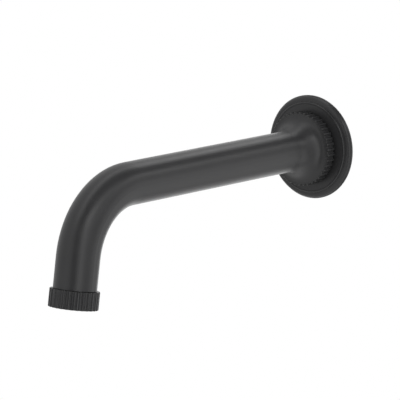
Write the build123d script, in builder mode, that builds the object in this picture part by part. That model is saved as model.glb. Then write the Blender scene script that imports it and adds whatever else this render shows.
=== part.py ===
from build123d import *
import math
import os

# Wall-mounted bath spout, in millimetres.
# The wall is the plane Y = 0 with its centre at the origin, +Z is up and the spout reaches along -Y.

# Spout tube and its bend
tube_diameter = 25.7
tube_wall = 2.0
outlet_reach = 220.3
outlet_drop = 66.0
bend_angle = 81.0
bend_radius = 44.0

# Base of the spout: neck, fluted collar and the flare that runs out into the tube
neck_step = 1.3
neck_wall_gap = 0.2
collar_rim_width = 1.2
collar_gap = 2.0
collar_thickness = 6.6
collar_edge_chamfer = 0.3
collar_flutes = 42
collar_flute_depth = 1.1
flare_width = 9.0
flare_length = 14.0

# Flutes, cut by one round-nosed cutter on the collar and on the outlet ring
flute_radius = 1.3

# Wall flange, from its edge in to its face: lip, rounded shoulder, tread, bead and flat face
flange_diameter = 65.0
flange_height = 3.9
flange_lip_width = 0.5
flange_lip_height = 1.1
flange_shoulder_width = 2.3
flange_shoulder_foot = 1.2
flange_tread_width = 1.1
flange_tread_height = 2.8
flange_bead_width = 1.3
flange_bead_rise = 0.25
flange_edge_chamfer = 0.3
flange_plate = 1.3
flange_cavity_inset = 1.5
flange_hub_wall = 3.2
flange_hub_gap = 0.4
flange_bore_clearance = 0.25

# Soft ring between the flange and the wall
gasket_width = 5.0
gasket_clearance = 0.2

# Rubber rings, shown squeezed into their grooves
seal_section = 1.8
seal_corner = 0.4
seal_groove_depth = 1.4
seal_groove_width = 2.5
seal_clearance = 0.02
flange_seal_station = 2.25

# Inlet nipple: half-inch pipe thread behind the wall, smooth spigot in the spout's socket
pipe_thread_diameter = 20.955
pipe_thread_length = 14.0
pipe_thread_relief = 2.0
pipe_thread_relief_depth = 1.3
pipe_thread_chamfer = 1.0
nipple_shoulder_diameter = 25.0
nipple_shoulder_thickness = 3.0
nipple_wall = 4.1
nipple_key_step = 0.1
nipple_key_depth = 11.0
socket_wall = 3.6
spigot_chamfer = 0.8
socket_clearance = 0.1
seal_from_grub_screw = 5.5
seal_spacing = 4.2
spigot_tip = 4.0
socket_end_gap = 1.0
waterway_cone = 4.0

# Grub screw that holds the spout on the nipple, under the tube
grub_screw_diameter = 5.0
grub_screw_from_collar = 12.0
grub_screw_recess = 0.4
grub_screw_key_flats = 2.5
grub_screw_key_depth = 2.0
grub_screw_point = 0.8
grub_screw_seat_depth = 0.7
grub_screw_seat_slack = 0.6
grub_screw_clearance = 0.05

# Outlet: threaded spigot on the tube and the fluted ring that screws onto it
ring_overhang = 1.8
ring_height = 10.7
ring_edge_chamfer = 0.3
ring_flutes = 28
ring_flute_depth = 1.0
ring_wall = 3.6
ring_thread_depth = 0.6
ring_lip = 1.2
ring_lip_width = 1.4
outlet_spigot_length = 4.8
outlet_spigot_wall = 2.0
outlet_spigot_chamfer = 0.4
thread_clearance = 0.05
tube_end_chamfer = 0.3
washer_thickness = 1.4

# Aerator cartridge held in the ring
aerator_fit = 0.1
aerator_sleeve_clearance = 0.3
aerator_rise = 4.4
aerator_wall = 1.0
aerator_ledge = 1.2
aerator_ledge_height = 1.0
aerator_nose = 0.9
filter_thickness = 0.8
filter_rim = 1.2
filter_hole = 1.3
filter_spacing = 1.9
jet_plate_drop = 1.0
jet_plate_thickness = 1.0
jet_slots = 18
jet_slot_length = 1.6
jet_slot_width = 0.6
jet_slot_to_ledge = 0.5
insert_height = 1.1
insert_rim = 0.8
insert_bar = 0.5
insert_bar_spacing = 1.7
grille_rim = 0.5
grille_cell = 2.0
grille_web = 0.35
aerator_piece_clearance = 0.05

# Places along the inlet axis, measured off the wall
flange_face = flange_height - flange_bead_rise
collar_back = flange_height + collar_gap
collar_front = collar_back + collar_thickness
flare_end = collar_front + flare_length
grub_screw_station = collar_front + grub_screw_from_collar
rear_seal_station = grub_screw_station + seal_from_grub_screw
front_seal_station = rear_seal_station + seal_spacing
spigot_end = front_seal_station + spigot_tip
socket_end = spigot_end + socket_end_gap
waterway_start = socket_end + waterway_cone

# Radii around the inlet axis
tube_radius = tube_diameter / 2
waterway_radius = tube_radius - tube_wall
neck_radius = tube_radius + neck_step
flare_foot = tube_radius + flare_width
collar_radius = flare_foot + collar_rim_width
socket_radius = tube_radius - socket_wall
spigot_radius = socket_radius - socket_clearance
nipple_bore_radius = spigot_radius - nipple_wall
nipple_key_flats = 2 * (nipple_bore_radius + nipple_key_step)

# Flange, from its edge in
flange_radius = flange_diameter / 2
flange_shoulder_radius = flange_radius - flange_lip_width
flange_shoulder_inner = flange_shoulder_radius - flange_shoulder_width
flange_bead_radius = flange_shoulder_inner - flange_tread_width
flange_bead_inner = flange_bead_radius - flange_bead_width
flange_bead_centre = (flange_bead_radius + flange_bead_inner) / 2
flange_cavity_depth = flange_face - flange_plate
flange_cavity_radius = flange_bead_radius - flange_cavity_inset
flange_bore_radius = neck_radius + flange_bore_clearance
flange_hub_radius = flange_bore_radius + flange_hub_wall

# Bend and outlet: the leg runs from the corner of the two centrelines to the mouth
bend = math.radians(bend_angle)
outlet_direction = Vector(0, -math.cos(bend), -math.sin(bend))
leg_length = outlet_drop / math.sin(bend)
corner_station = outlet_reach - leg_length * math.cos(bend)
bend_tangent = bend_radius * math.tan(bend / 2)
run_end = corner_station - bend_tangent
corner = Vector(0, -corner_station, 0)
tube_end = corner + outlet_direction * (leg_length - ring_height)

# Radii around the outlet axis
ring_radius = tube_radius + ring_overhang
ring_thread_radius = ring_radius - ring_wall
outlet_spigot_radius = ring_thread_radius - thread_clearance
outlet_bore_radius = ring_thread_radius - outlet_spigot_wall
aerator_seat_radius = ring_thread_radius - ring_thread_depth
ring_mouth_radius = aerator_seat_radius - ring_lip_width
aerator_flange_radius = aerator_seat_radius - aerator_fit
aerator_sleeve_radius = min(outlet_bore_radius, ring_mouth_radius) - aerator_sleeve_clearance
aerator_bore_radius = aerator_sleeve_radius - aerator_wall
aerator_ledge_radius = aerator_bore_radius - aerator_ledge

# Places down the outlet axis, measured from the end of the tube
washer_end = outlet_spigot_length + washer_thickness
lip_start = ring_height - ring_lip
aerator_top = washer_end - aerator_rise
aerator_nose_end = lip_start + aerator_nose
ledge_top = aerator_top + jet_plate_drop + jet_plate_thickness
ledge_bottom = ledge_top + aerator_ledge_height
insert_lower_top = ledge_bottom + insert_height
grille_top = insert_lower_top + insert_height

# Planes and axes of the two turned ends
wall_axis = Axis((0, 0, 0), (0, -1, 0))
outlet_axis = Axis(tube_end, outlet_direction)


def section_plane(start, direction):
    """Plane through a turned piece's axis: radius along its X, distance along the axis as its Y."""
    across = Vector(1, 0, 0)
    return Plane(origin=start, x_dir=across, z_dir=across.cross(direction))


def cross_plane(start, direction, distance):
    """Plane square to a turned piece's axis, at a distance along it."""
    return Plane(origin=start, x_dir=(1, 0, 0), z_dir=direction).offset(distance)


wall_centre = Vector(0, 0, 0)
wall_direction = Vector(0, -1, 0)
wall_section = section_plane(wall_centre, wall_direction)
outlet_section = section_plane(tube_end, outlet_direction)


def wall_plane(distance):
    return cross_plane(wall_centre, wall_direction, distance)


def outlet_plane(distance):
    return cross_plane(tube_end, outlet_direction, distance)


def turn(section, axis, outline, mode=Mode.ADD):
    """Turned form with straight edges, from (radius, distance along the axis) points."""
    with BuildSketch(section) as profile:
        with BuildLine():
            Polyline(*outline, close=True)
        make_face()
    revolve(profile.sketch, axis=axis, mode=mode)


def fluted_rim(rim_radius, flutes, depth, first_flute=0):
    """Disc with round-bottomed flutes around its rim, the first one at an angle from +X."""
    with BuildSketch() as rim:
        Circle(rim_radius)
        with PolarLocations(rim_radius - depth + flute_radius, flutes, first_flute):
            Circle(flute_radius, mode=Mode.SUBTRACT)
    return rim.sketch


def chamfered_blank(radius, start, end, chamfer):
    """Outline of a turned disc whose two rim edges are chamfered."""
    return (
        (0, start),
        (radius - chamfer, start),
        (radius, start + chamfer),
        (radius, end - chamfer),
        (radius - chamfer, end),
        (0, end),
    )


def squeezed_ring(section, axis, inner_radius, outer_radius, station):
    """Rubber ring pressed into a groove: its round section is flattened, and its area stays."""
    thickness = outer_radius - inner_radius - 2 * seal_clearance
    width = (math.pi / 4 * seal_section**2 + 2 * seal_corner**2) / thickness
    with BuildSketch(section) as profile:
        with Locations(((inner_radius + outer_radius) / 2, station)):
            Rectangle(thickness, width)
        chamfer(profile.vertices(), seal_corner)
    revolve(profile.sketch, axis=axis)


def groove(root_radius, outer_radius, station):
    """Points of a square groove around a turned piece, from its near wall to its far wall."""
    near = station - seal_groove_width / 2
    far = station + seal_groove_width / 2
    return (outer_radius, near), (root_radius, near), (root_radius, far), (outer_radius, far)


def centreline(end):
    """Round the bend from the end of the straight run, then down the leg to a point on its axis."""
    with BuildLine(Plane.YZ) as path:
        elbow = JernArc((-run_end, 0), (-1, 0), bend_radius, bend_angle)
        Line(elbow @ 1, (end.Y, end.Z))
    return path.wires()[0]


collar_rim = fluted_rim(collar_radius, collar_flutes, collar_flute_depth)
# Screwed home, the ring has a crest and not a flute on +X
half_ring_flute = 180 / ring_flutes
ring_rim = fluted_rim(ring_radius, ring_flutes, ring_flute_depth, half_ring_flute)

# Spout body: base, flare, tube and outlet spigot are one brass casting
neck_groove_root = neck_radius - seal_groove_depth
with BuildPart() as spout_body:
    # Fluted collar, with the corners of its crests taken off on the lathe
    with BuildSketch(wall_plane(collar_back)):
        add(collar_rim)
    extrude(amount=collar_thickness)
    turn(
        wall_section,
        wall_axis,
        chamfered_blank(collar_radius, collar_back, collar_front, collar_edge_chamfer),
        mode=Mode.INTERSECT,
    )
    # Neck behind the collar, flare in front of it and the straight run of the tube
    with BuildSketch(wall_section):
        with BuildLine():
            Polyline(
                (0, run_end),
                (0, neck_wall_gap),
                (neck_radius, neck_wall_gap),
                *groove(neck_groove_root, neck_radius, flange_seal_station),
                (neck_radius, collar_back),
                (flare_foot, collar_back),
                (flare_foot, collar_front),
            )
            EllipticalCenterArc((flare_foot, flare_end), flare_width, flare_length, 180, arc_size=90)
            Polyline((tube_radius, flare_end), (tube_radius, run_end), (0, run_end))
        make_face()
    revolve(axis=wall_axis)
    # Bend and leg
    with BuildSketch(wall_plane(run_end)):
        Circle(tube_radius)
    sweep(path=centreline(tube_end))
    chamfer(spout_body.edges().sort_by(outlet_axis)[-1], tube_end_chamfer)
    # Threaded spigot for the outlet ring
    turn(
        outlet_section,
        outlet_axis,
        (
            (0, -tube_wall),
            (outlet_bore_radius, -tube_wall),
            (outlet_spigot_radius, 0),
            (outlet_spigot_radius, outlet_spigot_length - outlet_spigot_chamfer),
            (outlet_spigot_radius - outlet_spigot_chamfer, outlet_spigot_length),
            (0, outlet_spigot_length),
        ),
    )
    # Waterway through the straight run, the bend and the leg
    with BuildSketch(wall_plane(waterway_start)):
        Circle(waterway_radius)
    extrude(amount=run_end - waterway_start, mode=Mode.SUBTRACT)
    with BuildSketch(wall_plane(run_end)):
        Circle(waterway_radius)
    sweep(path=centreline(tube_end - outlet_direction * waterway_cone), mode=Mode.SUBTRACT)
    # Socket for the nipple, opening out into the waterway
    turn(
        wall_section,
        wall_axis,
        (
            (0, neck_wall_gap),
            (socket_radius + spigot_chamfer, neck_wall_gap),
            (socket_radius, neck_wall_gap + spigot_chamfer),
            (socket_radius, socket_end),
            (waterway_radius, waterway_start),
            (0, waterway_start),
        ),
        mode=Mode.SUBTRACT,
    )
    # Bore of the outlet spigot, closing in from the waterway
    turn(
        outlet_section,
        outlet_axis,
        (
            (0, -waterway_cone),
            (waterway_radius, -waterway_cone),
            (outlet_bore_radius, 0),
            (outlet_bore_radius, outlet_spigot_length),
            (0, outlet_spigot_length),
        ),
        mode=Mode.SUBTRACT,
    )
    # Tapped hole for the grub screw, through the underside of the socket
    with BuildSketch(Plane(origin=(0, -grub_screw_station, 0), z_dir=(0, 0, -1))):
        Circle(grub_screw_diameter / 2)
    extrude(amount=tube_diameter, mode=Mode.SUBTRACT)
spout_body.part.label = "spout_body"

# Wall flange: turned brass rose with a hollow back and a hub that slides on the neck
with BuildPart() as wall_flange:
    with BuildSketch(wall_section):
        with BuildLine():
            Polyline(
                (flange_cavity_radius, 0),
                (flange_cavity_radius, flange_cavity_depth),
                (flange_hub_radius, flange_cavity_depth),
                (flange_hub_radius, flange_hub_gap),
                (flange_bore_radius, flange_hub_gap),
                (flange_bore_radius, flange_face),
                (flange_bead_inner, flange_face),
            )
            # The bead rises a little from the face and falls further to the tread outside it
            EllipticalCenterArc(
                (flange_bead_centre, flange_face),
                flange_bead_width / 2,
                flange_bead_rise,
                start_angle=90,
                arc_size=90,
            )
            EllipticalCenterArc(
                (flange_bead_centre, flange_tread_height),
                flange_bead_width / 2,
                flange_height - flange_tread_height,
                arc_size=90,
            )
            Line((flange_bead_radius, flange_tread_height), (flange_shoulder_inner, flange_tread_height))
            EllipticalCenterArc(
                (flange_shoulder_inner, flange_shoulder_foot),
                flange_shoulder_width,
                flange_tread_height - flange_shoulder_foot,
                arc_size=90,
            )
            Polyline(
                (flange_shoulder_radius, flange_shoulder_foot),
                (flange_shoulder_radius, flange_lip_height),
                (flange_radius - flange_edge_chamfer, flange_lip_height),
                (flange_radius, flange_lip_height - flange_edge_chamfer),
                (flange_radius, 0),
                (flange_cavity_radius, 0),
            )
        make_face()
    revolve(axis=wall_axis)
wall_flange.part.label = "wall_flange"

# Soft ring that fills the flange's back against the wall
gasket_radius = flange_cavity_radius - gasket_clearance
with BuildPart() as wall_gasket:
    with BuildSketch(wall_plane(0)):
        Circle(gasket_radius)
        Circle(gasket_radius - gasket_width, mode=Mode.SUBTRACT)
    extrude(amount=flange_cavity_depth)
wall_gasket.part.label = "wall_gasket"

# Rubber ring on the neck: it holds the flange against the wall by friction
with BuildPart() as flange_o_ring:
    squeezed_ring(
        wall_section, wall_axis, neck_groove_root, flange_bore_radius, flange_seal_station
    )
flange_o_ring.part.label = "flange_o_ring"

# Inlet nipple: thread, shoulder and grooved spigot, with a key hexagon in its front end
pipe_thread_radius = pipe_thread_diameter / 2
relief_radius = pipe_thread_radius - pipe_thread_relief_depth
nipple_back = -nipple_shoulder_thickness - pipe_thread_length
spigot_groove_root = spigot_radius - seal_groove_depth
grub_seat_half = grub_screw_diameter / 2 + grub_screw_seat_slack
with BuildPart() as inlet_nipple:
    turn(
        wall_section,
        wall_axis,
        (
            (0, nipple_back),
            (pipe_thread_radius - pipe_thread_chamfer, nipple_back),
            (pipe_thread_radius, nipple_back + pipe_thread_chamfer),
            (pipe_thread_radius, -nipple_shoulder_thickness - pipe_thread_relief),
            (relief_radius, -nipple_shoulder_thickness - pipe_thread_relief),
            (relief_radius, -nipple_shoulder_thickness),
            (nipple_shoulder_diameter / 2, -nipple_shoulder_thickness),
            (nipple_shoulder_diameter / 2, 0),
            (spigot_radius, 0),
            (spigot_radius, grub_screw_station - grub_seat_half),
            (spigot_radius - grub_screw_seat_depth, grub_screw_station - grub_seat_half),
            (spigot_radius - grub_screw_seat_depth, grub_screw_station + grub_seat_half),
            (spigot_radius, grub_screw_station + grub_seat_half),
            *groove(spigot_groove_root, spigot_radius, rear_seal_station),
            *groove(spigot_groove_root, spigot_radius, front_seal_station),
            (spigot_radius, spigot_end - spigot_chamfer),
            (spigot_radius - spigot_chamfer, spigot_end),
            (0, spigot_end),
        ),
    )
    with BuildSketch(wall_plane(nipple_back)):
        Circle(nipple_bore_radius)
    extrude(amount=spigot_end - nipple_back, mode=Mode.SUBTRACT)
    with BuildSketch(wall_plane(spigot_end - nipple_key_depth)):
        RegularPolygon(nipple_key_flats / 2, 6, major_radius=False)
    extrude(amount=nipple_key_depth, mode=Mode.SUBTRACT)
inlet_nipple.part.label = "inlet_nipple"

# Two rubber rings that seal the spigot in its socket
nipple_seals = {"nipple_o_ring_rear": rear_seal_station, "nipple_o_ring_front": front_seal_station}
nipple_o_rings = []
for seal_name, seal_station in nipple_seals.items():
    with BuildPart() as nipple_o_ring:
        squeezed_ring(wall_section, wall_axis, spigot_groove_root, socket_radius, seal_station)
    nipple_o_ring.part.label = seal_name
    nipple_o_rings.append(nipple_o_ring.part)

# Grub screw: hexagon socket at its lower end, blunt point on the nipple's seat
grub_point_level = -(spigot_radius - grub_screw_seat_depth) - 2 * grub_screw_clearance
grub_head_level = -tube_radius + grub_screw_recess
grub_radius = grub_screw_diameter / 2 - grub_screw_clearance
with BuildPart() as grub_screw:
    with BuildSketch(Plane.XY.offset(grub_head_level)):
        with Locations((0, -grub_screw_station)):
            Circle(grub_radius)
    extrude(amount=grub_point_level - grub_head_level)
    chamfer(grub_screw.edges().sort_by(Axis.Z)[-1], grub_screw_point)
    with BuildSketch(Plane.XY.offset(grub_head_level)):
        with Locations((0, -grub_screw_station)):
            RegularPolygon(grub_screw_key_flats / 2, 6, major_radius=False)
    extrude(amount=grub_screw_key_depth, mode=Mode.SUBTRACT)
grub_screw.part.label = "grub_screw"

# Outlet ring: fluted like the collar, threaded inside, with a lip under the cartridge
with BuildPart() as outlet_ring:
    with BuildSketch(outlet_plane(0)):
        add(ring_rim)
    extrude(amount=ring_height)
    turn(
        outlet_section,
        outlet_axis,
        chamfered_blank(ring_radius, 0, ring_height, ring_edge_chamfer),
        mode=Mode.INTERSECT,
    )
    turn(
        outlet_section,
        outlet_axis,
        (
            (0, 0),
            (ring_thread_radius, 0),
            (ring_thread_radius, outlet_spigot_length),
            (aerator_seat_radius, outlet_spigot_length),
            (aerator_seat_radius, lip_start),
            (ring_mouth_radius, lip_start),
            (ring_mouth_radius, ring_height - ring_edge_chamfer),
            (ring_mouth_radius + ring_edge_chamfer, ring_height),
            (0, ring_height),
        ),
        mode=Mode.SUBTRACT,
    )
outlet_ring.part.label = "outlet_ring"

# Washer between the tube's spigot and the cartridge's flange
with BuildPart() as outlet_washer:
    with BuildSketch(outlet_plane(outlet_spigot_length)):
        Circle(aerator_flange_radius)
        Circle(aerator_sleeve_radius + aerator_fit, mode=Mode.SUBTRACT)
    extrude(amount=washer_thickness)
outlet_washer.part.label = "outlet_washer"

# Aerator housing: moulded sleeve with a flange, an inner ledge and a nose through the ring's lip
with BuildPart() as aerator_housing:
    turn(
        outlet_section,
        outlet_axis,
        (
            (aerator_bore_radius, aerator_top),
            (aerator_sleeve_radius, aerator_top),
            (aerator_sleeve_radius, washer_end),
            (aerator_flange_radius, washer_end),
            (aerator_flange_radius, lip_start),
            (aerator_sleeve_radius, lip_start),
            (aerator_sleeve_radius, aerator_nose_end),
            (aerator_bore_radius, aerator_nose_end),
            (aerator_bore_radius, ledge_bottom),
            (aerator_ledge_radius, ledge_bottom),
            (aerator_ledge_radius, ledge_top),
            (aerator_bore_radius, ledge_top),
        ),
    )
aerator_housing.part.label = "aerator_housing"

# Inlet filter: perforated disc on top of the housing
filter_field = aerator_sleeve_radius - filter_rim
filter_rows = 2 * int(filter_field / filter_spacing) + 1
with BuildPart() as aerator_filter:
    with BuildSketch(outlet_plane(aerator_top - filter_thickness)):
        Circle(aerator_sleeve_radius)
        with GridLocations(filter_spacing, filter_spacing, filter_rows, filter_rows) as grid:
            holes = [
                spot
                for spot in grid.local_locations
                if spot.position.length + filter_hole / math.sqrt(2) < filter_field
            ]
        with Locations(*holes):
            Rectangle(filter_hole, filter_hole, mode=Mode.SUBTRACT)
    extrude(amount=filter_thickness)
aerator_filter.part.label = "aerator_filter"

# Jet plate: disc with a ring of narrow slots, seated on the ledge
aerator_piece_radius = aerator_bore_radius - aerator_piece_clearance
jet_circle_radius = aerator_ledge_radius - jet_slot_to_ledge - jet_slot_length / 2
with BuildPart() as aerator_jet_plate:
    with BuildSketch(outlet_plane(ledge_top - jet_plate_thickness)):
        Circle(aerator_piece_radius)
        with PolarLocations(jet_circle_radius, jet_slots):
            Rectangle(jet_slot_length, jet_slot_width, mode=Mode.SUBTRACT)
    extrude(amount=jet_plate_thickness)
aerator_jet_plate.part.label = "aerator_jet_plate"


def barred_insert(name, top, angle):
    """Ring crossed by parallel bars, which breaks up the jets."""
    bars = 2 * int((aerator_piece_radius - insert_rim) / insert_bar_spacing) + 1
    with BuildPart() as insert:
        with BuildSketch(outlet_plane(top)):
            Circle(aerator_piece_radius)
            Circle(aerator_piece_radius - insert_rim, mode=Mode.SUBTRACT)
        extrude(amount=insert_height)
        with BuildSketch(outlet_plane(top)):
            Circle(aerator_piece_radius - insert_rim / 2)
            with BuildSketch(mode=Mode.INTERSECT):
                with Locations(Rotation(0, 0, angle)):
                    with GridLocations(0, insert_bar_spacing, 1, bars):
                        Rectangle(2 * aerator_piece_radius, insert_bar)
        extrude(amount=insert_height)
    insert.part.label = name
    return insert.part


aerator_inserts = [
    barred_insert("aerator_insert_upper", ledge_bottom, 0),
    barred_insert("aerator_insert_lower", insert_lower_top, 90),
]

# Honeycomb grille, flush with the housing's nose
grille_field = aerator_piece_radius - grille_rim
grille_rows = 2 * math.ceil(grille_field / (grille_cell * math.cos(math.pi / 6))) + 1
with BuildPart() as aerator_grille:
    with BuildSketch(outlet_plane(grille_top)):
        Circle(aerator_piece_radius)
        with BuildSketch(mode=Mode.SUBTRACT):
            with HexLocations(grille_cell / 2, grille_rows, grille_rows, major_radius=False):
                RegularPolygon((grille_cell - grille_web) / 2, 6, major_radius=False)
            Circle(grille_field, mode=Mode.INTERSECT)
    extrude(amount=aerator_nose_end - grille_top)
aerator_grille.part.label = "aerator_grille"

pieces = [
    spout_body.part,
    wall_flange.part,
    wall_gasket.part,
    flange_o_ring.part,
    inlet_nipple.part,
    *nipple_o_rings,
    grub_screw.part,
    outlet_ring.part,
    outlet_washer.part,
    aerator_housing.part,
    aerator_filter.part,
    aerator_jet_plate.part,
    *aerator_inserts,
    aerator_grille.part,
]
os.makedirs("parts", exist_ok=True)
for piece in pieces:
    export_step(piece, f"parts/{piece.label}.step")
print(len(pieces), "pieces written")
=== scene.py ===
# %% [markdown]
# # A bath spout in satin black
#
# The spout is cast and turned brass under a black coating. Its shapes come from the CAD frame, which stays as
# it is. This lesson gives each piece its finish, makes the pieces whose detail is too fine for the CAD model,
# such as the pipe thread and the soft rings, and lights the spout as a studio would.
#
# Everything is in metres. The wall is the plane Y = 0, the spout reaches along -Y, and +Z is up.

# %% Load the frame
import math

import bmesh
import bpy
from mathutils import Matrix, Vector


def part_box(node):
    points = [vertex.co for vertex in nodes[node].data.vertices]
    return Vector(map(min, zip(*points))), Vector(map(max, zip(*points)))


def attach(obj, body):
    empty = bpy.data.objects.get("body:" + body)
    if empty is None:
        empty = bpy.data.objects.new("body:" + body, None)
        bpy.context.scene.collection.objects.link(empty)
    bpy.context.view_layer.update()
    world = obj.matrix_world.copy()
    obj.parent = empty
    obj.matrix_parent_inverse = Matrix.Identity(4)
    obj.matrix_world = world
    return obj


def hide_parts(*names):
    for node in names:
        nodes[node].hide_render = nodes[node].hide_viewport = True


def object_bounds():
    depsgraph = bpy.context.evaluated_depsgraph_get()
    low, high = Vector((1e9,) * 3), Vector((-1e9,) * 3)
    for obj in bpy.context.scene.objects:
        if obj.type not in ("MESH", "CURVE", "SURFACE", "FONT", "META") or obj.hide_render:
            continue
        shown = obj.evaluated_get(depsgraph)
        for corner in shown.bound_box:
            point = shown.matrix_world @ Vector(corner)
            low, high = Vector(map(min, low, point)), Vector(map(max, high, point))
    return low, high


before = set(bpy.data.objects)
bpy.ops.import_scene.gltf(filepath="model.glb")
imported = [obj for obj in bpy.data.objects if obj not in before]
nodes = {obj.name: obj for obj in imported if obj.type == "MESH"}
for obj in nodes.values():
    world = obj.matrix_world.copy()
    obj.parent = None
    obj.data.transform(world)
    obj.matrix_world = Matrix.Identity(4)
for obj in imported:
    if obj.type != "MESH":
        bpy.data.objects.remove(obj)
cad_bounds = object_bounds()
mm = 0.001
print("pieces in the frame:", len(nodes))

# %% [markdown]
# ## Small helpers
#
# Paint and plastic samples are read off a screen as sRGB hex values, but a shader adds light up in linear
# values, so one function turns the first into the second. Every material is a few nodes wired together, so a
# second function adds one node: a socket takes either a value or the output of another node. A third gives
# the scale that draws a texture's features at a real size.


# %% Colour, node and texture scale
def linear(hex_colour):
    """Linear RGBA of an sRGB hex colour."""
    shares = [int(hex_colour[i : i + 2], 16) / 255 for i in (1, 3, 5)]
    return (*[s / 12.92 if s <= 0.04045 else ((s + 0.055) / 1.055) ** 2.4 for s in shares], 1.0)


def add_node(tree, kind, settings=None, sockets=None):
    """A node with its settings; each socket takes a value or a link."""
    node = tree.nodes.new(kind)
    for name, value in (settings or {}).items():
        setattr(node, name, value)
    for name, value in (sockets or {}).items():
        if isinstance(value, bpy.types.NodeSocket):
            tree.links.new(value, node.inputs[name])
        else:
            node.inputs[name].default_value = value
    return node


def per_metre(size_mm):
    """Texture scale whose features are about this large."""
    return 1 / (size_mm * mm)


print("mid grey #808080 is", round(linear("#808080")[0], 3), "in linear light")

# %% [markdown]
# A material starts as a Principled shader. What is the same all over the surface is set on its sockets, and
# only what changes from place to place is wired in. A Mix node has sockets for numbers, vectors and colours,
# many with the same name, so its colour sockets are found by number.


# %% A material, its links and the pieces that wear it
def new_material(name, sockets):
    """A material and its shader, with the values that are the same all over the surface."""
    material = bpy.data.materials.new(name)
    material.use_nodes = True
    shader = material.node_tree.nodes["Principled BSDF"]
    for socket, value in sockets.items():
        shader.inputs[socket].default_value = value
    return material, material.node_tree, shader


def wire(tree, shader, links):
    """Links into the shader's sockets."""
    for socket, source in links.items():
        tree.links.new(source, shader.inputs[socket])


def finish(material, names):
    """Gives CAD pieces their one material."""
    for name in names:
        nodes[name].data.materials.clear()
        nodes[name].data.materials.append(material)
    print(material.name, "on", ", ".join(names))


mix_factor = 0
mix_first = 6
mix_second = 7
mixed_colour = 2
print("a Mix node takes colours in sockets", mix_first, "and", mix_second)

# %% [markdown]
# ## Black electrocoat
#
# The brass is dipped in black lacquer and baked. The film levels out almost like glass, but a matting agent
# in it blurs every reflection to a broad sheen, so the roughness is about a third. It is a dielectric: most
# of its brightness is reflected studio, and it turns light at grazing angles. Solid lacquer has an IOR of
# 1.5, but the matted surface is slightly open and mirrors less, which an IOR of 1.4 matches.
#
# A very low orange peel, a millimetre across, and a finer grain are what a close view shows. The lathe broke
# every sharp edge a little before coating, which the Bevel node draws without touching the mesh.

# %% Values of the coating
coat_dark = linear("#29292a")
coat_light = linear("#2e2e2f")
coat_ior = 1.4
coat_glossiest = 0.33
coat_dullest = 0.37
coat_patch_mm = 14.0
coat_peel_mm = 1.1
coat_peel_height = 0.004 * mm
coat_grain_mm = 0.14
coat_grain_height = 0.001 * mm
coat_edge_round = 0.18 * mm
# A noise texture seldom leaves these values
noise_low = 0.3
noise_high = 0.7
print("coating roughness", coat_glossiest, "to", coat_dullest)


# %% Coating on the spout, the flange and the outlet ring
def black_electrocoat():
    """Satin lacquer with a low orange peel and a fine grain."""
    material, tree, shader = new_material("black_electrocoat", {"IOR": coat_ior, "Metallic": 0.0})
    place = add_node(tree, "ShaderNodeTexCoord").outputs["Object"]
    patches = add_node(
        tree,
        "ShaderNodeTexNoise",
        sockets={"Vector": place, "Scale": per_metre(coat_patch_mm), "Detail": 3.0},
    ).outputs["Fac"]
    colour = add_node(
        tree,
        "ShaderNodeMix",
        {"data_type": "RGBA"},
        {mix_factor: patches, mix_first: coat_dark, mix_second: coat_light},
    )
    roughness = add_node(
        tree,
        "ShaderNodeMapRange",
        sockets={
            "Value": patches,
            "From Min": noise_low,
            "From Max": noise_high,
            "To Min": coat_glossiest,
            "To Max": coat_dullest,
        },
    )
    edges = add_node(tree, "ShaderNodeBevel", {"samples": 6}, {"Radius": coat_edge_round}).outputs["Normal"]
    peel = add_node(
        tree,
        "ShaderNodeTexNoise",
        sockets={"Vector": place, "Scale": per_metre(coat_peel_mm), "Detail": 1.0},
    ).outputs["Fac"]
    grain = add_node(
        tree,
        "ShaderNodeTexNoise",
        sockets={"Vector": place, "Scale": per_metre(coat_grain_mm), "Detail": 2.0},
    ).outputs["Fac"]
    peeled = add_node(
        tree,
        "ShaderNodeBump",
        sockets={"Height": peel, "Distance": coat_peel_height, "Normal": edges},
    ).outputs["Normal"]
    grained = add_node(
        tree,
        "ShaderNodeBump",
        sockets={"Height": grain, "Distance": coat_grain_height, "Normal": peeled},
    ).outputs["Normal"]
    wire(
        tree,
        shader,
        {
            "Base Color": colour.outputs[mixed_colour],
            "Roughness": roughness.outputs["Result"],
            "Normal": grained,
        },
    )
    return material


finish(black_electrocoat(), ("spout_body", "wall_flange", "outlet_ring"))

# %% [markdown]
# ## Turned brass
#
# The inlet nipple is machined from brass rod and left bare. It is a metal, so its colour is in its
# reflections, and its default IOR stays. The tool leaves fine rings around the axis: a sine along Y draws
# them, and a little noise keeps them from being too regular. Real feed marks are 0.1 mm apart, too fine to
# show, so they are drawn at 0.3 mm.

# %% Values of the brass
brass_bright = linear("#d9b56c")
brass_dull = linear("#b98f4a")
brass_glossiest = 0.2
brass_dullest = 0.42
brass_stain_mm = 6.0
feed_mark_mm = 0.3
feed_mark_height = 0.0015 * mm
feed_mark_strength = 0.6
feed_wobble_mm = 1.5
feed_turns = 2 * math.pi / (feed_mark_mm * mm)
print("brass rings every", feed_mark_mm, "mm")


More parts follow.
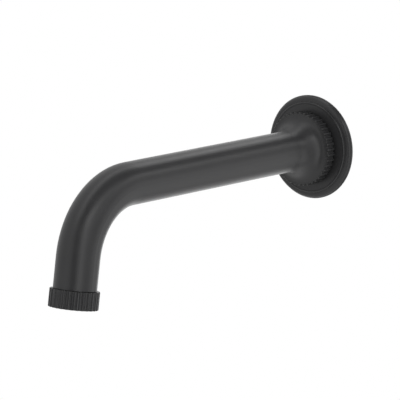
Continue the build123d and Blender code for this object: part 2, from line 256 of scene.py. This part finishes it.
# %% Brass with feed marks around the Y axis
def turned_brass():
    """Bare brass with rings left by the tool and a little tarnish."""
    material, tree, shader = new_material("turned_brass", {"Metallic": 1.0})
    place = add_node(tree, "ShaderNodeTexCoord").outputs["Object"]
    stain = add_node(
        tree,
        "ShaderNodeTexNoise",
        sockets={"Vector": place, "Scale": per_metre(brass_stain_mm), "Detail": 4.0},
    ).outputs["Fac"]
    colour = add_node(
        tree,
        "ShaderNodeMix",
        {"data_type": "RGBA"},
        {mix_factor: stain, mix_first: brass_bright, mix_second: brass_dull},
    )
    roughness = add_node(
        tree,
        "ShaderNodeMapRange",
        sockets={"Value": stain, "To Min": brass_glossiest, "To Max": brass_dullest},
    )
    along = add_node(tree, "ShaderNodeSeparateXYZ", sockets={"Vector": place}).outputs["Y"]
    wobble = add_node(
        tree,
        "ShaderNodeTexNoise",
        sockets={"Vector": place, "Scale": per_metre(feed_wobble_mm)},
    ).outputs["Fac"]
    phase = add_node(tree, "ShaderNodeMath", {"operation": "MULTIPLY"}, {0: along, 1: feed_turns})
    shifted = add_node(
        tree,
        "ShaderNodeMath",
        {"operation": "ADD"},
        {0: phase.outputs["Value"], 1: wobble},
    )
    rings = add_node(tree, "ShaderNodeMath", {"operation": "SINE"}, {0: shifted.outputs["Value"]})
    bump = add_node(
        tree,
        "ShaderNodeBump",
        sockets={
            "Height": rings.outputs["Value"],
            "Distance": feed_mark_height,
            "Strength": feed_mark_strength,
        },
    )
    wire(
        tree,
        shader,
        {
            "Base Color": colour.outputs[mixed_colour],
            "Roughness": roughness.outputs["Result"],
            "Normal": bump.outputs["Normal"],
        },
    )
    return material


brass = turned_brass()
print("bare metal:", brass.name)

# %% [markdown]
# ## Stainless steel
#
# The grub screw is a standard A2 screw: cold-headed, tumbled and left bright, so its grain has no direction.
# Only its end shows in its hole, so the CAD piece is enough. One noise gives both the small dents of the
# tumbling and the uneven gloss that goes with them.

# %% Steel of the grub screw
steel_colour = linear("#b9b7b2")
steel_glossiest = 0.25
steel_dullest = 0.45
steel_dent_mm = 0.35
steel_dent_height = 0.004 * mm


def tumbled_steel():
    """Bright steel with small dents all over."""
    material, tree, shader = new_material("tumbled_steel", {"Metallic": 1.0, "Base Color": steel_colour})
    place = add_node(tree, "ShaderNodeTexCoord").outputs["Object"]
    dents = add_node(
        tree,
        "ShaderNodeTexNoise",
        sockets={"Vector": place, "Scale": per_metre(steel_dent_mm), "Detail": 4.0},
    ).outputs["Fac"]
    roughness = add_node(
        tree,
        "ShaderNodeMapRange",
        sockets={"Value": dents, "To Min": steel_glossiest, "To Max": steel_dullest},
    )
    bump = add_node(tree, "ShaderNodeBump", sockets={"Height": dents, "Distance": steel_dent_height})
    wire(tree, shader, {"Roughness": roughness.outputs["Result"], "Normal": bump.outputs["Normal"]})
    return material


finish(tumbled_steel(), ("grub_screw",))

# %% [markdown]
# ## Rubber
#
# The sealing rings and the outlet washer are EPDM, moulded and cured: near black, with a dull bloom that
# comes and goes over a few millimetres. One noise carries the bloom's colour, its dullness and its relief.

# %% Rubber of the seals
rubber_dark = linear("#1b1b1c")
rubber_bloom = linear("#2c2c2d")
rubber_ior = 1.52
rubber_glossiest = 0.5
rubber_dullest = 0.75
rubber_bloom_mm = 2.5
rubber_bloom_height = 0.01 * mm


def moulded_rubber():
    """Black rubber with a dull bloom."""
    material, tree, shader = new_material("moulded_rubber", {"IOR": rubber_ior})
    place = add_node(tree, "ShaderNodeTexCoord").outputs["Object"]
    bloom = add_node(
        tree,
        "ShaderNodeTexNoise",
        sockets={"Vector": place, "Scale": per_metre(rubber_bloom_mm), "Detail": 5.0},
    ).outputs["Fac"]
    colour = add_node(
        tree,
        "ShaderNodeMix",
        {"data_type": "RGBA"},
        {mix_factor: bloom, mix_first: rubber_dark, mix_second: rubber_bloom},
    )
    roughness = add_node(
        tree,
        "ShaderNodeMapRange",
        sockets={"Value": bloom, "To Min": rubber_glossiest, "To Max": rubber_dullest},
    )
    bump = add_node(tree, "ShaderNodeBump", sockets={"Height": bloom, "Distance": rubber_bloom_height})
    wire(
        tree,
        shader,
        {
            "Base Color": colour.outputs[mixed_colour],
            "Roughness": roughness.outputs["Result"],
            "Normal": bump.outputs["Normal"],
        },
    )
    return material


rubber = moulded_rubber()
print("seals:", rubber.name)

# %% [markdown]
# ## Foam
#
# The ring behind the flange is die-cut from closed foam, dark grey, and every cut face shows half-open cells.
# Voronoi cells are lower in the middle than at their walls, as those are, and the colour is darker in their
# middle as well: painted shade in the cell hollows.

# %% Foam behind the flange
# Colour in the middle of a cell: painted shade in the hollow, darker than the foam's own grey at the walls
foam_hollow_shade = linear("#2b2c2e")
foam_wall_grey = linear("#45474a")
foam_ior = 1.45
foam_roughness = 0.9
foam_cell_mm = 0.7
foam_cell_depth = 0.15 * mm


def cut_foam():
    """Grey foam with half-open cells, and painted shade in their hollows."""
    material, tree, shader = new_material("cut_foam", {"IOR": foam_ior, "Roughness": foam_roughness})
    place = add_node(tree, "ShaderNodeTexCoord").outputs["Object"]
    cell_height_and_shade = add_node(
        tree,
        "ShaderNodeTexVoronoi",
        sockets={"Vector": place, "Scale": per_metre(foam_cell_mm)},
    ).outputs["Distance"]
    # Painted shade: the colour darkens towards the middle of each cell hollow
    colour = add_node(
        tree,
        "ShaderNodeMix",
        {"data_type": "RGBA"},
        {mix_factor: cell_height_and_shade, mix_first: foam_hollow_shade, mix_second: foam_wall_grey},
    )
    bump = add_node(tree, "ShaderNodeBump", sockets={"Height": cell_height_and_shade, "Distance": foam_cell_depth})
    wire(tree, shader, {"Base Color": colour.outputs[mixed_colour], "Normal": bump.outputs["Normal"]})
    return material


foam = cut_foam()
print("gasket:", foam.name, "with cells of", foam_cell_mm, "mm")

# %% [markdown]
# ## Moulded acetal
#
# The cartridge in the outlet is injection moulded. Acetal is a slightly waxy, milky plastic with an IOR of
# 1.48, so a little light goes under its surface. One noise varies its gloss where the plastic flowed, and a
# finer one is the mould's spark texture, which leaves it satin. The inlet filter is the same with less
# pigment.

# %% Values of the acetal
acetal_ior = 1.48
acetal_milk = 0.12
acetal_milk_depth = 1.0 * mm
acetal_flow_mm = 3.0
acetal_spark_mm = 0.12
acetal_spark_height = 0.004 * mm
print("acetal lets", round(100 * acetal_milk), "% of the light in")


# %% Acetal for the cartridge and its filter
def moulded_acetal(name, light, shade, glossiest, dullest):
    """Milky plastic between two tones and two values of roughness."""
    uniform = {
        "IOR": acetal_ior,
        "Subsurface Weight": acetal_milk,
        "Subsurface Scale": acetal_milk_depth,
    }
    material, tree, shader = new_material(name, uniform)
    place = add_node(tree, "ShaderNodeTexCoord").outputs["Object"]
    flow = add_node(
        tree,
        "ShaderNodeTexNoise",
        sockets={"Vector": place, "Scale": per_metre(acetal_flow_mm), "Detail": 2.0},
    ).outputs["Fac"]
    spark = add_node(
        tree,
        "ShaderNodeTexNoise",
        sockets={"Vector": place, "Scale": per_metre(acetal_spark_mm), "Detail": 2.0},
    ).outputs["Fac"]
    colour = add_node(
        tree,
        "ShaderNodeMix",
        {"data_type": "RGBA"},
        {mix_factor: flow, mix_first: linear(light), mix_second: linear(shade)},
    )
    roughness = add_node(
        tree,
        "ShaderNodeMapRange",
        sockets={"Value": flow, "To Min": glossiest, "To Max": dullest},
    )
    bump = add_node(tree, "ShaderNodeBump", sockets={"Height": spark, "Distance": acetal_spark_height})
    wire(
        tree,
        shader,
        {
            "Base Color": colour.outputs[mixed_colour],
            "Roughness": roughness.outputs["Result"],
            "Normal": bump.outputs["Normal"],
        },
    )
    return material


cartridge = (
    "aerator_housing",
    "aerator_jet_plate",
    "aerator_insert_upper",
    "aerator_insert_lower",
    "aerator_grille",
)
finish(moulded_acetal("moulded_acetal", "#c4c6c7", "#b3b5b7", 0.36, 0.5), cartridge)
finish(moulded_acetal("natural_acetal", "#d9dcde", "#cbced1", 0.3, 0.42), ("aerator_filter",))

# %% [markdown]
# ## Turned forms with detail
#
# A pipe thread could be cut with a Screw modifier or swept along a helix, but both leave a tangle where the
# thread runs into the relief groove. A lathe grid is cleaner: each row of points goes once around the axis
# at one place along it, and the radius may change around the row. The rows go along the outside and come
# back through the bore, so the mesh closes on itself.

# %% A lathe grid around an axis
sharp_edge = math.radians(30)


def lathe_grid(name, rows, columns, start, direction):
    """Closed mesh of rows around an axis; a row is (distance along the axis, radius at an angle)."""
    across = Vector((1, 0, 0))
    up = direction.cross(across)
    form = bmesh.new()
    loops = []
    for distance, radius_at in rows:
        loop = []
        for column in range(columns):
            angle = 2 * math.pi * column / columns
            outward = across * math.cos(angle) + up * math.sin(angle)
            loop.append(form.verts.new(start + direction * distance + outward * radius_at(angle)))
        loops.append(loop)
    for loop, following in zip(loops, loops[1:] + loops[:1]):
        for column in range(columns):
            after = (column + 1) % columns
            form.faces.new((loop[column], loop[after], following[after], following[column]))
    bmesh.ops.recalc_face_normals(form, faces=form.faces)
    mesh = bpy.data.meshes.new(name)
    form.to_mesh(mesh)
    form.free()
    mesh.shade_smooth()
    mesh.set_sharp_from_angle(angle=sharp_edge)
    piece = bpy.data.objects.new(name, mesh)
    bpy.context.scene.collection.objects.link(piece)
    return piece


print("edges sharper than", round(math.degrees(sharp_edge)), "degrees stay crisp")


# %% Radii and outlines for the lathe
def even(radius):
    """Radius that is the same at every angle."""
    return lambda angle: radius


def scaled(radius_at):
    """The same radii, turned from millimetres to metres."""
    return lambda angle: radius_at(angle) * mm


def broken(outline, size):
    """Outline whose corners are each cut off by two points, this far from the corner."""
    cut = []
    for before, corner, after in zip(outline, outline[1:], outline[2:]):
        here = Vector(corner)
        for other in (Vector(before), Vector(after)):
            leg = other - here
            cut.append(tuple(here + leg.normalized() * min(size, leg.length / 3)))
    return [outline[0], *cut, outline[-1]]


print("a square corner becomes", len(broken([(0, 0), (1, 0), (1, 1)], 0.1)) - 2, "points")

# %% [markdown]
# ## The inlet nipple
#
# Its thread is the half-inch pipe thread: 14 turns an inch, 55 degrees, with round crests and roots. The
# outline is read from back to front: chamfer, thread, relief, shoulder, spigot, seat for the grub screw, two
# seal grooves and the nose. The bore ends in the hexagon for the key that turns the nipple into the wall.
#
# The CAD piece gives its length and its shoulder. Places are measured off the wall, into the room.

# %% Sizes of the nipple, in millimetres
nipple_low, nipple_high = (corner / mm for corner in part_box("inlet_nipple"))
nipple_back = -nipple_high.y
nipple_front = -nipple_low.y
shoulder_radius = nipple_high.x
shoulder_back = -3.0
thread_pitch = 25.4 / 14
thread_depth = 0.6403 * thread_pitch
thread_crest = 10.4775
thread_chamfer = 1.0
thread_end = shoulder_back - 2.0
relief = thread_crest - 1.3
spigot = 9.15
screw_seat = 24.5
seat_half = 3.1
seat_radius = spigot - 0.7
rear_groove = 30.0
front_groove = 34.2
groove_half = 1.25
groove_root = spigot - 1.4
nose_chamfer = 0.8
bore = spigot - 4.1
bore_chamfer = 0.4
key_flat = bore + 0.1
key_rim = key_flat + 1.3
key_depth = 11.0
edge_break = 0.15
print("nipple from", round(nipple_back, 2), "to", round(nipple_front, 2), "mm off the wall")

# %% [markdown]
# The thread only takes material away from the turned outline. Going once around the axis shifts it by one
# pitch, so its depth at a place follows from the distance along the axis less the share of a turn.

# %% Radius around the thread and the key hexagon
thread_flat = 1 / 6


def thread_cut(distance, angle):
    """Share of the thread's depth that is cut away at a place: 0 on a crest, 1 in a root."""
    turns = (distance - thread_pitch * angle / (2 * math.pi)) / thread_pitch
    slope = abs(2 * (turns % 1.0) - 1.0)
    share = min(max((slope - thread_flat) / (1 - 2 * thread_flat), 0.0), 1.0)
    return share * share * (3 - 2 * share)


def threaded(distance):
    """Radius around a row of the thread, inside the chamfer at its start."""
    limit = min(thread_crest, thread_crest - thread_chamfer + (distance - nipple_back))
    return lambda angle: min(limit, thread_crest - thread_depth * thread_cut(distance, angle))


def hexagonal(angle):
    """Radius of the key hexagon."""
    return key_flat / math.cos(angle % (math.pi / 3) - math.pi / 6)


print("thread root radius", round(thread_crest - thread_depth, 2), "mm")

# %% [markdown]
# The rows are the outline's points, from the thread's start to the nose, into the hexagon and back through
# the bore. The thread needs many rows to a turn, and the plain parts only their corners.

# %% Rows of the nipple
nipple_columns = 96
rows_per_turn = 14
thread_length = thread_end - nipple_back
thread_steps = round(thread_length / thread_pitch * rows_per_turn)
thread_rows = [nipple_back + thread_length * step / thread_steps for step in range(thread_steps + 1)]


def recess(middle, half, depth_radius):
    """Outline of a square recess around the spigot."""
    near, far = middle - half, middle + half
    return [(near, spigot), (near, depth_radius), (far, depth_radius), (far, spigot)]


front_outline = [
    (thread_end, relief),
    (shoulder_back, relief),
    (shoulder_back, shoulder_radius),
    (0.0, shoulder_radius),
    (0.0, spigot),
    *recess(screw_seat, seat_half, seat_radius),
    *recess(rear_groove, groove_half, groove_root),
    *recess(front_groove, groove_half, groove_root),
    (nipple_front - nose_chamfer, spigot),
    (nipple_front, spigot - nose_chamfer),
    (nipple_front, key_rim),
]
bore_outline = [
    (nipple_front - key_depth, bore),
    (nipple_back + bore_chamfer, bore),
    (nipple_back, bore + bore_chamfer),
]
rows = [(distance * mm, scaled(threaded(distance))) for distance in thread_rows]
rows += [(distance * mm, even(radius * mm)) for distance, radius in broken(front_outline, edge_break)]
rows += [(distance * mm, scaled(hexagonal)) for distance in (nipple_front, nipple_front - key_depth)]
rows += [(distance * mm, even(radius * mm)) for distance, radius in bore_outline]
print("rows:", len(rows), "of which in the thread:", len(thread_rows))

# %% The nipple
nipple = lathe_grid("inlet_nipple_threaded", rows, nipple_columns, Vector(), Vector((0, -1, 0)))
nipple.data.materials.append(brass)
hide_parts("inlet_nipple")
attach(nipple, "root")
print("nipple:", len(nipple.data.polygons), "faces")

# %% [markdown]
# ## Soft rings
#
# An O-ring in its groove isn't round any more: it is flat where it bears and bulges at its sides. A
# superellipse has that section, and a higher power makes it squarer. The foam ring and the washer are cut
# from sheet, and only their edges give a little. Each ring takes its place and its size from the node that
# it stands for, and the same lathe grid turns it.


# %% Rings of rubber and foam
def ring_sizes(node, start, direction):
    """Inner radius, outer radius, near end and far end of a ring-shaped node around an axis."""
    radii, places = [], []
    for vertex in nodes[node].data.vertices:
        offset = vertex.co - start
        along = offset.dot(direction)
        places.append(along)
        radii.append((offset - direction * along).length)
    return min(radii), max(radii), min(places), max(places)


ring_columns = 96


def soft_ring(node, material, power, steps, start=Vector(), direction=Vector((0, -1, 0))):
    """Ring whose section is a superellipse; a higher power is squarer."""
    inner, outer, near, far = ring_sizes(node, start, direction)
    middle, half = (inner + outer) / 2, (outer - inner) / 2
    centre, reach = (near + far) / 2, (far - near) / 2
    rows = []
    for step in range(steps):
        turn = 2 * math.pi * step / steps
        sideways, outward = math.cos(turn), math.sin(turn)
        place = centre + reach * math.copysign(abs(sideways) ** (2 / power), sideways)
        radius = middle + half * math.copysign(abs(outward) ** (2 / power), outward)
        rows.append((place, even(radius)))
    ring = lathe_grid(node + "_soft", rows, ring_columns, start, direction)
    ring.data.materials.append(material)
    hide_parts(node)
    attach(ring, "root")
    return ring


print("soft rings have", ring_columns, "columns")

# %% The seals, the foam ring and the outlet washer
moulded_power = 3.0
foam_power = 12.0
washer_power = 8.0
outlet_lean = math.radians(81.0)
outlet_direction = Vector((0, -math.cos(outlet_lean), -math.sin(outlet_lean)))
mouth = Vector((0, -220.3, -66.0)) * mm
seals = [
    soft_ring(node, rubber, moulded_power, 40)
    for node in ("flange_o_ring", "nipple_o_ring_rear", "nipple_o_ring_front")
]
cut_rings = [
    soft_ring("wall_gasket", foam, foam_power, 64),
    soft_ring("outlet_washer", rubber, washer_power, 48, mouth, outlet_direction),
]
print("moulded rings:", len(seals), "rings cut from sheet:", len(cut_rings))

# %% [markdown]
# ## Floor and white ground
#
# The spout is shown on plain white, held up at eye level as on a stand, so the pale floor lies far below it.
# A sweep of white paper could be modelled behind it, but it would never come out even. Instead, rays from
# the camera, and rays that are reflected or let through, see floor and world as even white. All other light
# falls on the real floor, which throws some of it back up under the spout. From below, the floor is
# transparent, so that it doesn't hide the spout from a low camera.

# %% Which rays see white
white_light = (1, 1, 1, 1)


def seen_as_white(tree):
    """1 for the rays that should see plain white, else 0."""
    path = add_node(tree, "ShaderNodeLightPath")
    shared = add_node(
        tree,
        "ShaderNodeMath",
        {"operation": "MAXIMUM"},
        {0: path.outputs["Is Glossy Ray"], 1: path.outputs["Is Transmission Ray"]},
    )
    return add_node(
        tree,
        "ShaderNodeMath",
        {"operation": "MAXIMUM"},
        {0: path.outputs["Is Camera Ray"], 1: shared.outputs["Value"]},
    ).outputs["Value"]


print("white for camera, glossy and transmission rays")

# %% Floor
floor_level = -1.65
floor_half = 6.0
floor_colour = linear("#d8d8d6")
floor_roughness = 0.9


def white_floor():
    """Pale floor for the light, white to the eye, and nothing from below."""
    material, tree, shader = new_material(
        "pale_floor", {"Base Color": floor_colour, "Roughness": floor_roughness}
    )
    white = add_node(tree, "ShaderNodeEmission", sockets={"Color": white_light, "Strength": 1.0})
    top = add_node(
        tree,
        "ShaderNodeMixShader",
        sockets={0: seen_as_white(tree), 1: shader.outputs["BSDF"], 2: white.outputs["Emission"]},
    )
    underside = add_node(tree, "ShaderNodeBsdfTransparent")
    side = add_node(tree, "ShaderNodeNewGeometry").outputs["Backfacing"]
    mixed = add_node(
        tree,
        "ShaderNodeMixShader",
        sockets={0: side, 1: top.outputs["Shader"], 2: underside.outputs["BSDF"]},
    )
    tree.links.new(mixed.outputs["Shader"], tree.nodes["Material Output"].inputs["Surface"])
    return material


floor_mesh = bpy.data.meshes.new("floor")
corners = [(x * floor_half, y * floor_half, floor_level) for x, y in ((-1, -1), (1, -1), (1, 1), (-1, 1))]
floor_mesh.from_pydata(corners, [], [(0, 1, 2, 3)])
floor_mesh.materials.append(white_floor())
floor = bpy.data.objects.new("floor", floor_mesh)
bpy.context.scene.collection.objects.link(floor)
print("floor", floor_level, "m below the inlet")

# %% World
world_strength = 0.82
world = bpy.data.worlds.new("studio")
bpy.context.scene.world = world
world.use_nodes = True
sky = world.node_tree
sky.nodes.clear()
soft = add_node(sky, "ShaderNodeBackground", sockets={"Color": white_light, "Strength": world_strength})
white = add_node(sky, "ShaderNodeBackground", sockets={"Color": white_light, "Strength": 1.0})
mixed = add_node(
    sky,
    "ShaderNodeMixShader",
    sockets={0: seen_as_white(sky), 1: soft.outputs["Background"], 2: white.outputs["Background"]},
)
add_node(sky, "ShaderNodeOutputWorld", sockets={"Surface": mixed.outputs["Shader"]})
print("the world lights at", world_strength)

# %% [markdown]
# ## Camera
#
# A long lens from far away, almost level, from the front right of the spout. It could be pointed at the
# spout's middle, but the picture's own framing is off centre, so it aims at the place in space that lands in
# the middle of the picture.

# %% The camera
camera_azimuth = math.radians(40.35)
camera_elevation = math.radians(10.51)
camera_distance = 1.887
camera_lens = 271.6
sensor_width = 36.0
far_clip = 50.0
aim_right = -69.7 * mm
aim_up = -33.4 * mm

camera_back = Vector(
    (
        math.sin(camera_azimuth) * math.cos(camera_elevation),
        -math.cos(camera_azimuth) * math.cos(camera_elevation),
        math.sin(camera_elevation),
    )
)
camera_right = Vector((math.cos(camera_azimuth), math.sin(camera_azimuth), 0))
camera_up = camera_back.cross(camera_right)
aim = camera_right * aim_right + camera_up * aim_up
camera_data = bpy.data.cameras.new("camera")
camera_data.lens = camera_lens
camera_data.sensor_width = sensor_width
camera_data.clip_end = far_clip
camera = bpy.data.objects.new("camera", camera_data)
turned = Matrix((camera_right, camera_up, camera_back)).transposed().to_4x4()
camera.matrix_world = Matrix.Translation(aim + camera_back * camera_distance) @ turned
bpy.context.scene.collection.objects.link(camera)
bpy.context.scene.camera = camera
bpy.context.scene.view_settings.view_transform = "Standard"
print("camera at", [round(v, 3) for v in camera.location])

# %% [markdown]
# ## Lights
#
# A glossy black thing has little colour of its own: what it shows is the studio. Soft boxes draw its bright
# lines, and flags, which are dark or grey cards on stands, keep the white room out of the rest. Each is a
# flat upright rectangle that faces the spout, so it is given by the direction in which it stands, its width
# and height for each metre of distance, and its level in a mirror, where 1 is white.
#
# A soft box's power follows from its level: a flat lamp's watts are pi times its level and its area.


# %% Places in the studio
def facing(azimuth, elevation, distance):
    """Frame of a rectangle that faces the spout from a direction in degrees."""
    a, e = math.radians(azimuth), math.radians(elevation)
    away = Vector((math.sin(a) * math.cos(e), -math.cos(a) * math.cos(e), math.sin(e)))
    right = Vector((math.cos(a), math.sin(a), 0))
    axes = Matrix((right, away.cross(right), away)).transposed().to_4x4()
    return Matrix.Translation(spout_middle + away * distance) @ axes


spout_middle = sum(cad_bounds, Vector()) / 2
print("the studio is set around", [round(v, 3) for v in spout_middle])

# %% Soft boxes
box_distance = 1.4


def soft_box(name, azimuth, elevation, width, height, level):
    """Lamp with an even face, at a level in a mirror."""
    data = bpy.data.lights.new(name, "AREA")
    data.shape = "RECTANGLE"
    data.size, data.size_y = width * box_distance, height * box_distance
    data.energy = math.pi * level * data.size * data.size_y
    light = bpy.data.objects.new(name, data)
    light.matrix_world = facing(azimuth, elevation, box_distance)
    bpy.context.scene.collection.objects.link(light)
    return data.energy


# Name, azimuth, elevation, width, height and level
powers = [
    soft_box("strip_over_right", 92, 44.7, 2.92, 0.25, 1.52),
    soft_box("strip_right", 56.2, 8, 0.25, 2.61, 1.35),
    soft_box("strip_overhead", -93, 79, 2.27, 0.27, 1.27),
    soft_box("rim_top", -165, 30, 0.28, 0.53, 1.22),
    soft_box("side_right", 135.4, -16, 0.72, 0.92, 0.66),
    soft_box("side_left", -154, -11, 0.62, 1.0, 0.98),
]
print("soft boxes:", len(powers), "with", round(sum(powers)), "watts in all")

# %% [markdown]
# A real flag would also keep light off the floor and the rest of the room. Here each card shows an even level
# of its own, 0 for black, and only reflections see it, so it shapes the gloss and leaves the light on the
# spout alone. Where two cards overlap, the nearer one counts. A soft box adds its level to what is behind it.


# %% Flags
def flag(name, azimuth, elevation, width, height, level, distance):
    """Card that only reflections see."""
    material = bpy.data.materials.new(name)
    material.use_nodes = True
    tree = material.node_tree
    tree.nodes.clear()
    glow = add_node(tree, "ShaderNodeEmission", sockets={"Color": white_light, "Strength": level})
    add_node(tree, "ShaderNodeOutputMaterial", sockets={"Surface": glow.outputs["Emission"]})
    material.cycles.emission_sampling = "NONE"
    x, y = width * distance / 2, height * distance / 2
    mesh = bpy.data.meshes.new(name)
    mesh.from_pydata([(-x, -y, 0), (x, -y, 0), (x, y, 0), (-x, y, 0)], [], [(0, 1, 2, 3)])
    mesh.materials.append(material)
    card = bpy.data.objects.new(name, mesh)
    card.matrix_world = facing(azimuth, elevation, distance)
    for ray in ("camera", "diffuse", "transmission", "volume_scatter", "shadow"):
        setattr(card, "visible_" + ray, False)
    bpy.context.scene.collection.objects.link(card)
    return card


# Name, azimuth, elevation, width, height, level and distance
flags = [
    flag("grey_front_left", -98.5, 7.3, 5.97, 4.0, 0.77, 1.6),
    flag("grey_back_right", 151.5, -12, 5.4, 1.64, 0.65, 1.55),
    flag("black_back_top", 129, 46.4, 1.38, 0.29, 0.0, 1.52),
    flag("black_front_right", 24, 11, 0.45, 2.24, 0.0, 1.5),
    flag("black_over_right", 96, 76, 5.51, 0.7, 0.0, 1.48),
    flag("grey_below", 0, -90, 2.2, 2.2, 0.95, 1.55),
]
print("flags:", len(flags))
